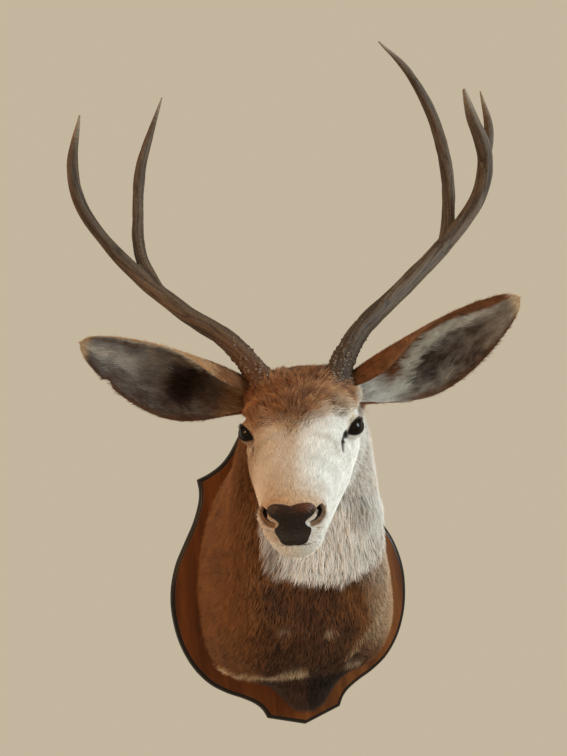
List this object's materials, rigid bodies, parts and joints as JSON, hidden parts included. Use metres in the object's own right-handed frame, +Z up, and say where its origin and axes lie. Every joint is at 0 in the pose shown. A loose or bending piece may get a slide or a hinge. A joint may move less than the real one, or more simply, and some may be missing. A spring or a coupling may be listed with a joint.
{
  "type": "deer shoulder mount",
  "caption": "Taxidermy shoulder mount of a mule deer buck, head turned to its right, ears spread, forked antlers, on a shield-shaped wooden wall plaque.",
  "frame": {"origin": "middle of the plaque's back face at mid-height, where it lies flat on the wall", "axes": "+Z up, +X to the right of someone facing the mount, +Y into the wall, so the deer looks out along -Y"},
  "size_m": [0.6316, 0.6313, 1.0723],
  "materials": {
    "plaque_wood": "orange-brown stained hardwood under satin varnish, the ogee edge stained nearly black",
    "coat_brown": "natural deer hair, ginger-brown sides and dark brown chest, each hair ticked",
    "coat_grey": "short pale grey-tan face hair under a dark brown forehead cap",
    "coat_white": "off-white hair of chin, lips and throat bib",
    "ear_hide": "thin haired hide, rust-brown behind and grey-white within",
    "nose_leather": "pebbled, varnished wet-looking black-brown nose skin",
    "eye_glass": "polished dark glass taxidermy eye",
    "antler_bone": "bare antler bone, furrowed and beaded at the base, stained brown, rubbed paler towards the tips"
  },
  "bodies": {
    "root": {"antler_left_back_tine": "antler_bone", "antler_left_base": "antler_bone", "antler_left_front_beam": "antler_bone", "antler_left_front_point": "antler_bone", "antler_left_rear_point": "antler_bone", "antler_right_back_tine": "antler_bone", "antler_right_base": "antler_bone", "antler_right_front_point": "antler_bone", "ear_left": "ear_hide", "ear_right": "ear_hide", "eye_left": "eye_glass", "eye_right": "eye_glass", "head": "coat_grey", "lower_jaw": "coat_white", "muzzle": "coat_grey", "neck": "coat_brown", "nose_pad": "nose_leather", "plaque_board": "plaque_wood", "shoulders": "coat_brown"}
  },
  "joints": []
}
